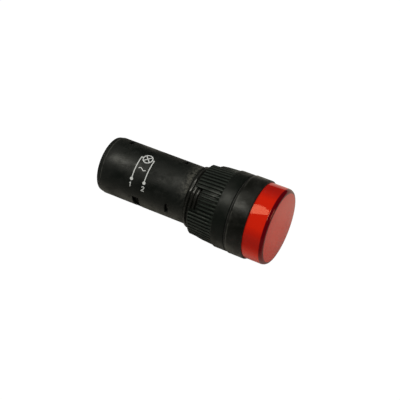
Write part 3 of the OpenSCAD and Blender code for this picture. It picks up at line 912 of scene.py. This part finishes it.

# %% [markdown]
# A thin pale line along an edge that runs round the axis is a painted highlight, where the edge
# catches the light. The second group masks such a line at one station and breaks it up with noise,
# so that the bezel and the casing can each have one where their own edge lies.

# %% The painted edge-highlight group
EDGE_HIGHLIGHT_HALF_W = 0.17 * MM
EDGE_HIGHLIGHT_SCALE = 260
painted_edge_highlight, r_in, r_out = new_group(
    "painted edge highlight",
    [("Station", "NodeSocketFloat", 0.0), ("Half width", "NodeSocketFloat", EDGE_HIGHLIGHT_HALF_W)],
    [("Mask", "NodeSocketFloat")])
r_coords, _, r_y, _ = object_place(painted_edge_highlight)
away = math_node(painted_edge_highlight, "SUBTRACT", r_y, r_in.outputs["Station"])
away = math_node(painted_edge_highlight, "ABSOLUTE", away)
thin_line = remap(painted_edge_highlight, away, 0.0, r_in.outputs["Half width"], 1.0, 0.0)
patches = noise(painted_edge_highlight, r_coords, EDGE_HIGHLIGHT_SCALE, 4.0, 0.7)
patches = remap(painted_edge_highlight, patches, 0.46, 0.54, 0.0, 1.0)
r_mask = math_node(painted_edge_highlight, "MULTIPLY", thin_line, patches)
painted_edge_highlight.links.new(r_mask, r_out.inputs["Mask"])
print("group:", painted_edge_highlight.name)

# %% [markdown]
# Crests wear smoother first, on the barrel's thread as on the nut's ribs, and they are also painted
# lighter, a painted highlight where they catch the light. The third group masks what lies outside a
# cone: it starts at one station with one radius, and its radius changes by the slope for each metre
# along the axis.

# %% The crest group: polish and a painted highlight
CREST_BLUR = 0.1 * MM
CREST_START_L = 0.2 * MM
crest_polish_and_highlight, c_in, c_out = new_group(
    "crest polish and painted highlight",
    [("Start", "NodeSocketFloat", 0.0), ("Radius", "NodeSocketFloat", 8 * MM),
     ("Slope", "NodeSocketFloat", 0.0)],
    [("Mask", "NodeSocketFloat")])
_, c_x, c_y, c_z = object_place(crest_polish_and_highlight)
behind = math_node(crest_polish_and_highlight, "SUBTRACT", c_y, c_in.outputs["Start"])
cone = math_node(crest_polish_and_highlight, "MULTIPLY", behind, c_in.outputs["Slope"])
cone = math_node(crest_polish_and_highlight, "ADD", c_in.outputs["Radius"], cone)
above = math_node(crest_polish_and_highlight, "SUBTRACT", axis_radius(crest_polish_and_highlight, c_x, c_z), cone)
above = remap(crest_polish_and_highlight, above, 0.0, CREST_BLUR, 0.0, 1.0)
begun = remap(crest_polish_and_highlight, behind, 0.0, CREST_START_L, 0.0, 1.0)
crest_polish_and_highlight.links.new(math_node(crest_polish_and_highlight, "MULTIPLY", above, begun), c_out.inputs["Mask"])
print("group:", crest_polish_and_highlight.name)

# %% [markdown]
# ## Materials
# Each finish has its own Principled shader. What is the same all over, such as the
# index of refraction, is set on the shader's own sockets, and the groups feed only
# what changes over the surface.

# %% Helpers for materials
def new_material(name):
    """A Principled material, its node tree and its shader."""
    material = bpy.data.materials.new(name)
    material.use_nodes = True
    return material, material.node_tree, material.node_tree.nodes["Principled BSDF"]


def place_group(tree, group, **values):
    """A group's node in a tree with its inputs set, where _ in a label stands for a space."""
    node = tree.nodes.new("ShaderNodeGroup")
    node.node_tree = group
    for label, value in values.items():
        node.inputs[label.replace("_", " ")].default_value = value
    return node


def feed_bump(tree, shader, height, distance):
    """Feeds the shader's normal with a height, through a bump of the given distance."""
    bump = tree.nodes.new("ShaderNodeBump")
    bump.inputs["Distance"].default_value = distance
    tree.links.new(height, bump.inputs["Height"])
    tree.links.new(bump.outputs["Normal"], shader.inputs["Normal"])


def finish_with(made, material):
    """Gives a piece one material in its first slot."""
    made.data.materials.clear()
    made.data.materials.append(material)


print("materials before the first finish:", len(bpy.data.materials))

# %% [markdown]
# A fine pale dust, such as a nut rubs off as it is screwed on, lies on the casing's upper side just
# behind the thread. Its pale colour, which grows lighter towards the top, is also a painted
# highlight where the light falls. Only one material has it, so it is a helper and not a group.

# %% Dust rubbed off by the nut, with a painted highlight
NUT_DUST_HIGHLIGHT_L = 3.0 * MM
NUT_DUST_HIGHLIGHT_SCALE = 1500
NUT_DUST_HIGHLIGHT_COLOUR = (0.10, 0.095, 0.075)


def nut_dust_and_highlight(tree, start):
    """A mask of specks, of dust and painted highlight: the thickest at a station, gone a few
    millimetres behind it, and stronger towards the top.
    """
    coords, _, y, z = object_place(tree)
    near = remap(tree, y, start, start + NUT_DUST_HIGHLIGHT_L, 1.0, 0.0)
    upper = remap(tree, z, 0.45 * CASING_R, 0.85 * CASING_R, 0.15, 1.0)
    specks = remap(tree, noise(tree, coords, NUT_DUST_HIGHLIGHT_SCALE, 4.0, 0.7), 0.42, 0.62, 0.0, 0.8)
    return math_node(tree, "MULTIPLY", math_node(tree, "MULTIPLY", near, upper), specks)


print("the nut's dust ends", round(NUT_DUST_HIGHLIGHT_L / MM, 1), "mm behind the thread")

# %% [markdown]
# One function makes every moulded finish. The surface group comes first. A painted highlight along
# an edge, the nut's dust with its painted highlight, and crests that are worn smoother and painted
# lighter as a painted highlight are laid over it where a piece has them.

# %% Moulded finishes
BUMP_DISTANCE = 0.02 * MM
# The colour of the thin line along an edge, a painted highlight
EDGE_HIGHLIGHT_COLOUR = (0.040, 0.040, 0.034)


def moulded_material(name, colour, roughness, grain=0.1, dust=0.05, dust_colour=(0.3, 0.28, 0.23),
                     edge_highlight_y=None, crest=None, dust_and_highlight_end=None, **sockets):
    """A Principled material fed by the moulded-surface group.

    edge_highlight_y and dust_and_highlight_end are stations: the first of a painted highlight line,
    the second of the nut's dust with its painted highlight. crest is a start, a radius, a slope, a
    lighter colour that is a painted highlight, and how much the wear takes off the roughness.
    """
    material, tree, shader = new_material(name)
    group = place_group(tree, moulded, Colour=(*colour, 1), Dust_colour=(*dust_colour, 1),
                        Dust=dust, Roughness=roughness, Grain=grain)
    surface, gloss = group.outputs["Colour"], group.outputs["Roughness"]
    if edge_highlight_y is not None:
        edge_highlight_line = place_group(tree, painted_edge_highlight, Station=edge_highlight_y)
        surface = mix_colour(tree, edge_highlight_line.outputs["Mask"], surface, EDGE_HIGHLIGHT_COLOUR)
    if dust_and_highlight_end is not None:
        surface = mix_colour(tree, nut_dust_and_highlight(tree, dust_and_highlight_end), surface, NUT_DUST_HIGHLIGHT_COLOUR)
    if crest is not None:
        start, radius, slope, crest_highlight_colour, polish = crest
        crest_wear_and_highlight = place_group(tree, crest_polish_and_highlight, Start=start, Radius=radius, Slope=slope)
        surface = mix_colour(tree, crest_wear_and_highlight.outputs["Mask"], surface, crest_highlight_colour)
        smoother = math_node(tree, "MULTIPLY", crest_wear_and_highlight.outputs["Mask"], polish)
        gloss = math_node(tree, "SUBTRACT", gloss, smoother)
    tree.links.new(surface, shader.inputs["Base Color"])
    tree.links.new(gloss, shader.inputs["Roughness"])
    feed_bump(tree, shader, group.outputs["Height"], BUMP_DISTANCE)
    for label, value in sockets.items():
        shader.inputs[label.replace("_", " ")].default_value = value
    return material


# %% [markdown]
# The casing is the dullest of the blacks, the nut has a fine grain, and the bezel's thread is
# polished on its crests. The crests of the thread and of the ribs are also painted lighter, a
# painted highlight, and so is a thin pale line on the casing's chamfer and on the bezel's rear
# edge. The gasket is matt rubber, and the print is a thin pale ink.

# %% Black mouldings, rubber and ink
# Lighter crest colours, painted highlights where the crests catch the light
THREAD_CREST_HIGHLIGHT = (0.013, 0.013, 0.011)
THREAD_POLISH = 0.30
THREAD_CREST_R = THREAD_R - THREAD_DEPTH * 0.45
RIB_CREST_HIGHLIGHT = (0.013, 0.018, 0.0135)
RIB_POLISH = 0.05
RIB_CREST_R = RIB_FRONT_R - 0.12 * MM
# Stations of the painted highlight lines, on the casing's chamfer and on the bezel's rear edge
CASING_HIGHLIGHT_Y = casing_high.y - CHAMFER_L - 0.05 * MM
BEZEL_HIGHLIGHT_Y = gasket_low.y - 0.38 * MM
casing_black = moulded_material(
    "casing black", (0.0024, 0.0040, 0.0028), 0.56, grain=0.6, dust=0.025,
    edge_highlight_y=CASING_HIGHLIGHT_Y, dust_and_highlight_end=casing_low.y)
nut_black = moulded_material(
    "nut black", (0.0036, 0.0055, 0.0038), 0.55, grain=0.7, dust=0.015,
    crest=(nut_front + COLLAR_L, RIB_CREST_R, RIB_SLOPE, RIB_CREST_HIGHLIGHT, RIB_POLISH),
    Specular_IOR_Level=0.34)
bezel_black = moulded_material(
    "bezel black", (0.0030, 0.0034, 0.0018), 0.50, grain=0.5, dust=0.07,
    edge_highlight_y=BEZEL_HIGHLIGHT_Y, crest=(0.0, THREAD_CREST_R, 0.0, THREAD_CREST_HIGHLIGHT, THREAD_POLISH))
gasket_black = moulded_material("gasket rubber", (0.010, 0.010, 0.009), 0.6, grain=1.0, dust=0.1)
ink_pale = moulded_material("print ink", (0.52, 0.53, 0.52), 0.55, grain=0.4, dust=0.15,
                            dust_colour=(0.2, 0.2, 0.2))
for made, finish in ((casing, casing_black), (nut, nut_black), (barrel, bezel_black),
                     (gasket, gasket_black), (ink_print, ink_pale)):
    finish_with(made, finish)
    print(f"{made.name}: {finish.name}")

# %% [markdown]
# ## The red lens
# The cap is translucent red plastic, so each part of it looks red in its own way: the flat face is
# pale, the side glows, and the rounded edge is a deep ring. The shader's transmission could make
# this, and wasn't tried: it looked risky for the export, which bakes the finish to plain colours.
# So this cap is opaque, and its colours are laid on by radius and station under a sharp gloss: the
# deep ring and the darker patches are painted shade.

# %% Colours and places of the lens
# The darker reds below are painted shade: on the side wall, towards the rim of the face, and on the
# deep ring of the rounded edge
LENS_SIDE = (0.57, 0.014, 0.004)
LENS_SHADE = (0.22, 0.006, 0.006)
LENS_FACE = (0.56, 0.022, 0.006)
LENS_FACE_SHADE = (0.45, 0.012, 0.006)
LENS_RING_SHADE = (0.092, 0.001, 0.004)
LENS_TINT = (1.0, 0.42, 0.26, 1)
LENS_IOR = 1.49
LENS_ROUGHNESS = 0.06
# The deep ring's painted shade reaches over the rim of the face too, this far in from the rounded
# edge
LENS_BORDER = 0.12 * MM
face_r = LENS_R - LENS_EDGE_W - LENS_BORDER
# Painted shade darkens the side wall in patches round the axis, the first at this turn
SHADE_PATCHES = 4
SHADE_PATCH_TURN = 167.0
SHADE_PATCH_STRENGTH = 0.62
# Painted shade also darkens the last stretch of the wall, next to the bezel
BEZEL_SHADE = 0.55
BEZEL_SHADE_L = 0.45 * MM
# The deep ring's painted shade fades out over this part of the rounded edge
RING_FADE_FROM, RING_FADE_TO = 0.68, 0.86
print("radius of the lens face in mm:", round(face_r / MM, 2))

# %% [markdown]
# The side and the face each work out their own red, with painted shade. The material then picks
# between them by radius, lays the painted shade of the deep ring over both, and adds faint scuffs
# and a ripple.

# %% Lens material
def lens_side(tree, x, y, z):
    """The side's red, with painted shade at the bezel and in patches where cos(shade_patches *
    (turn - first patch)) > 0.
    """
    at_bezel = remap(tree, y, bezel_front - BEZEL_SHADE_L, bezel_front - 0.02 * MM,
                     0.0, BEZEL_SHADE)
    turn = math_node(tree, "SUBTRACT", math_node(tree, "ARCTAN2", z, x), math.radians(SHADE_PATCH_TURN))
    shade_patches = math_node(tree, "COSINE", math_node(tree, "MULTIPLY", turn, SHADE_PATCHES))
    shade = math_node(tree, "MAXIMUM", at_bezel, remap(tree, shade_patches, 0.0, 1.0, 0.0, SHADE_PATCH_STRENGTH))
    return mix_colour(tree, shade, LENS_SIDE, LENS_SHADE)


def lens_face(tree, coords, radius):
    """The face's red, with painted shade that deepens towards its rim, and a little cloudy."""
    depth = remap(tree, radius, LENS_R * 0.35, face_r, 0.0, 0.7)
    cloudy = remap(tree, noise(tree, coords, 240, 3.0), 0.35, 0.65, -0.15, 0.15)
    deep = math_node(tree, "ADD", depth, cloudy, clamp=True)
    return mix_colour(tree, deep, LENS_FACE, LENS_FACE_SHADE)


def lens_material(name):
    """Radius and station pick out the flat face, the deep ring of painted shade on the edge, and
    the side.
    """
    material, tree, shader = new_material(name)
    coords, x, y, z = object_place(tree)
    radius = axis_radius(tree, x, z)
    outside_face = remap(tree, radius, face_r - 0.04 * MM, face_r + 0.05 * MM, 0.0, 1.0)
    ahead_of_side = remap(tree, y, lens_front + LENS_EDGE_H * RING_FADE_FROM,
                          lens_front + LENS_EDGE_H * RING_FADE_TO, 1.0, 0.0)
    ring = math_node(tree, "MULTIPLY", outside_face, ahead_of_side)
    body = mix_colour(tree, outside_face, lens_face(tree, coords, radius), lens_side(tree, x, y, z))
    tree.links.new(mix_colour(tree, ring, body, LENS_RING_SHADE), shader.inputs["Base Color"])
    scuffs = remap(tree, noise(tree, coords, 900, 5.0, 0.7), 0.52, 0.66, 0.0, 0.10)
    tree.links.new(math_node(tree, "ADD", scuffs, LENS_ROUGHNESS), shader.inputs["Roughness"])
    feed_bump(tree, shader, noise(tree, coords, 420, 2.0), 0.004 * MM)
    shader.inputs["IOR"].default_value = LENS_IOR
    shader.inputs["Specular Tint"].default_value = LENS_TINT
    return material


finish_with(lens, lens_material("lens red"))
print(f"{lens.name}: {lens.data.materials[0].name}")

# %% [markdown]
# ## Finishes of the pieces inside
# Boards, parts and terminals keep the meshes of the solids and get plain finishes.
# A name that ends in _ stands for all the pieces whose names start with it.

# %% Pieces that come straight from the solids
inside = {
    "diffuser": ("diffuser white", (0.85, 0.84, 0.80), 0.5, {}),
    "led_board": ("light board white", (0.72, 0.72, 0.68), 0.35, {}),
    "driver_board": ("driver board green", (0.015, 0.10, 0.045), 0.3, {}),
    "film_capacitor": ("capacitor ochre", (0.55, 0.30, 0.05), 0.3, {}),
    "bridge_rectifier": ("black epoxy", (0.015, 0.015, 0.015), 0.45, {}),
    "smoothing_capacitor": ("can sleeve", (0.02, 0.03, 0.12), 0.25, {}),
    "terminal_block": ("terminal block", (0.007, 0.007, 0.006), 0.65, {"Specular IOR Level": 0.0}),
    "led_": ("diode epoxy", (0.55, 0.03, 0.02), 0.1, {}),
    "board_pin_": ("tinned pin", (0.75, 0.74, 0.70), 0.3, {"Metallic": 1.0}),
    "lead_wire_": ("tinned wire", (0.75, 0.74, 0.70), 0.35, {"Metallic": 1.0}),
    "resistor_": ("resistor lacquer", (0.50, 0.36, 0.18), 0.4, {}),
    "terminal_plate_": ("terminal brass", (0.72, 0.50, 0.20), 0.32, {"Metallic": 1.0}),
    "wire_clamp_": ("zinc plate", (0.62, 0.63, 0.62), 0.34, {"Metallic": 1.0}),
    "terminal_screw_": ("screw zinc", (0.66, 0.67, 0.66), 0.28, {"Metallic": 1.0}),
}
for start, (label, colour, roughness, sockets) in inside.items():
    made = moulded_material(label, colour, roughness, grain=0.4, dust=0.04, **sockets)
    several = start.endswith("_")
    found = [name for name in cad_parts
             if name == start or (several and name.startswith(start) and name not in inside)]
    for name in found:
        finish_with(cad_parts[name], made)
    print(f"{label}: {len(found)} pieces")

# %% [markdown]
# ## Floor, light and camera
# The light lies in front of a plain white floor, under broad soft lamps. Rays that
# go straight to the camera see the floor and the sky as white. Rays that the part
# mirrors see darker ones, so that its blacks stay black.

# %% Helpers for the floor and the sky
def straight_rays(tree):
    """The Light Path node, and a mask of the rays that come straight or through glass."""
    paths = tree.nodes.new("ShaderNodeLightPath")
    straight = math_node(tree, "MAXIMUM", paths.outputs["Is Camera Ray"],
                         paths.outputs["Is Transmission Ray"])
    return paths, straight


def mix_shaders(tree, mask, a, b):
    """A Mix Shader: a where the mask is 0, and b where it is 1."""
    node = tree.nodes.new("ShaderNodeMixShader")
    for socket, source in zip(node.inputs, (mask, a, b)):
        tree.links.new(source, socket)
    return node.outputs[0]


print("helpers:", [helper.__name__ for helper in (straight_rays, mix_shaders)])

# %% [markdown]
# The floor is one large square just under the light. It belongs to the stage and not to the object,
# so it hangs on no body.

# %% Floor
FLOOR_GAP = 0.3 * MM
FLOOR_SIZE = 3.0
floor_z = cad_low.z - FLOOR_GAP
floor_mesh = bpy.data.meshes.new("floor")
corner = FLOOR_SIZE / 2
floor_mesh.from_pydata([(-corner, -corner, floor_z), (corner, -corner, floor_z),
                        (corner, corner, floor_z), (-corner, corner, floor_z)],
                       [], [(0, 1, 2, 3)])
floor = bpy.data.objects.new("floor", floor_mesh)
bpy.context.scene.collection.objects.link(floor)
print("floor at z in mm:", round(floor_z / MM, 2))

# %% [markdown]
# The floor glows a little on straight rays, so that it shows as plain white without lighting the
# part. Mirrored in the part, it carries a painted shadow on the side that the viewer stands on.

# %% Floor material
FLOOR_SHOWN_WHITE = 0.95
FLOOR_GLOW = 1.05
# Where the floor's painted shadow lies, seen only in the part's mirror, and how deep it is
FLOOR_SHADOW_FROM, FLOOR_SHADOW_TO = -12 * MM, -22 * MM
FLOOR_PAINTED_SHADOW = 0.8
FLOOR_COLOUR = (0.8, 0.8, 0.78)
FLOOR_MIRRORED = (0.56, 0.53, 0.47)
FLOOR_MIRRORED_SHADOW = (0.02, 0.02, 0.02)
floor_white, tree, shader = new_material("floor white")
shader.inputs["Roughness"].default_value = 0.9
shader.inputs["Specular IOR Level"].default_value = 0.1
paths, straight = straight_rays(tree)
_, floor_x, _, _ = object_place(tree)
painted_floor_shadow = remap(tree, floor_x, FLOOR_SHADOW_TO, FLOOR_SHADOW_FROM, FLOOR_PAINTED_SHADOW, 0.0)
mirrored = mix_colour(tree, painted_floor_shadow, FLOOR_MIRRORED, FLOOR_MIRRORED_SHADOW)
shown = mix_colour(tree, paths.outputs["Is Glossy Ray"], FLOOR_COLOUR, mirrored)
tree.links.new(shown, shader.inputs["Base Color"])
glow = tree.nodes.new("ShaderNodeEmission")
glow.inputs["Strength"].default_value = FLOOR_GLOW
share = math_node(tree, "MULTIPLY", straight, FLOOR_SHOWN_WHITE)
mixed = mix_shaders(tree, share, shader.outputs[0], glow.outputs[0])
tree.links.new(mixed, tree.nodes["Material Output"].inputs["Surface"])
finish_with(floor, floor_white)
print("material:", floor_white.name)

# %% [markdown]
# The sky is white to the camera. It lights the part softly from all round, but the
# part mirrors hardly any of it.

# %% World
ROOM_LIGHT = 0.42
ROOM_MIRRORED = 0.01
world = bpy.data.worlds.new("studio")
bpy.context.scene.world = world
world.use_nodes = True
tree = world.node_tree
tree.nodes.clear()
paths, straight = straight_rays(tree)
fill = tree.nodes.new("ShaderNodeBackground")
white = tree.nodes.new("ShaderNodeBackground")
for background in (fill, white):
    background.inputs["Color"].default_value = (1, 1, 1, 1)
white.inputs["Strength"].default_value = 1.0
mirrored = math_node(tree, "MULTIPLY", paths.outputs["Is Glossy Ray"], ROOM_LIGHT - ROOM_MIRRORED)
tree.links.new(math_node(tree, "SUBTRACT", ROOM_LIGHT, mirrored), fill.inputs["Strength"])
out = tree.nodes.new("ShaderNodeOutputWorld")
sky = mix_shaders(tree, straight, fill.outputs[0], white.outputs[0])
tree.links.new(sky, out.inputs["Surface"])
print("world:", world.name)

# %% [markdown]
# Three oblong lamps stand in for windows and make the highlights on the lens and the
# blacks. Two more only lift the shadows, so the part doesn't mirror them.

# %% Lamps
def lamp(name, place, size, power, colour=(1, 1, 1), mirrored=True):
    """An oblong area lamp at a place, facing the middle of the light, all in metres."""
    data = bpy.data.lights.new(name, "AREA")
    data.color = colour
    data.shape = "RECTANGLE"
    data.size, data.size_y = size
    data.energy = power
    made = bpy.data.objects.new(name, data)
    made.location = place
    made.rotation_euler = (middle - Vector(place)).to_track_quat("-Z", "Y").to_euler()
    made.visible_glossy = mirrored
    bpy.context.scene.collection.objects.link(made)
    print(f"{name}: {power} W")


middle = (cad_low + cad_high) / 2
lamp("window lamp", (-0.13, 0.20, 0.45), (0.18, 0.23), 0.78, (0.98, 0.97, 0.86))
lamp("narrow window", (-0.16, -0.025, 0.47), (0.09, 0.30), 0.34, (1.0, 0.97, 0.86))
lamp("front window", (0.01, -0.45, 0.23), (0.20, 0.15), 0.38, (0.98, 0.98, 0.88))
lamp("far lamp", (0.40, 0.30, 0.30), (0.3, 0.3), 0.6, mirrored=False)
lamp("front lamp", (-0.30, -0.25, 0.40), (0.3, 0.3), 0.35, mirrored=False)

# %% [markdown]
# The camera looks down on the light from its left front. It is set by a point on the
# axis, the direction back to the viewer, and how far that point lies off the middle.

# %% Camera
SENSOR = 36.0
VIEW_AZIMUTH = math.radians(-61.2)
VIEW_ELEVATION = math.radians(44.3)
VIEW_DISTANCE = 0.2406
FOCAL = 89.3
AIM_Y = 9.94 * MM
AIM_RIGHT = 1.236 * MM
AIM_UP = 0.119 * MM
back = Vector((math.sin(VIEW_AZIMUTH) * math.cos(VIEW_ELEVATION),
               -math.cos(VIEW_AZIMUTH) * math.cos(VIEW_ELEVATION), math.sin(VIEW_ELEVATION)))
right = Vector((math.cos(VIEW_AZIMUTH), math.sin(VIEW_AZIMUTH), 0))
up = back.cross(right)
camera_data = bpy.data.cameras.new("camera")
camera_data.sensor_width = SENSOR
camera_data.lens = FOCAL
camera_data.clip_start = 0.01
camera = bpy.data.objects.new("camera", camera_data)
camera.matrix_world = Matrix.Translation(
    Vector((0, AIM_Y, 0)) - right * AIM_RIGHT - up * AIM_UP + back * VIEW_DISTANCE
) @ Matrix((right, up, back)).transposed().to_4x4()
bpy.context.scene.collection.objects.link(camera)
bpy.context.scene.camera = camera
bpy.context.scene.view_settings.view_transform = "Standard"
print("camera at, in mm:", [round(v / MM, 1) for v in camera.matrix_world.translation])
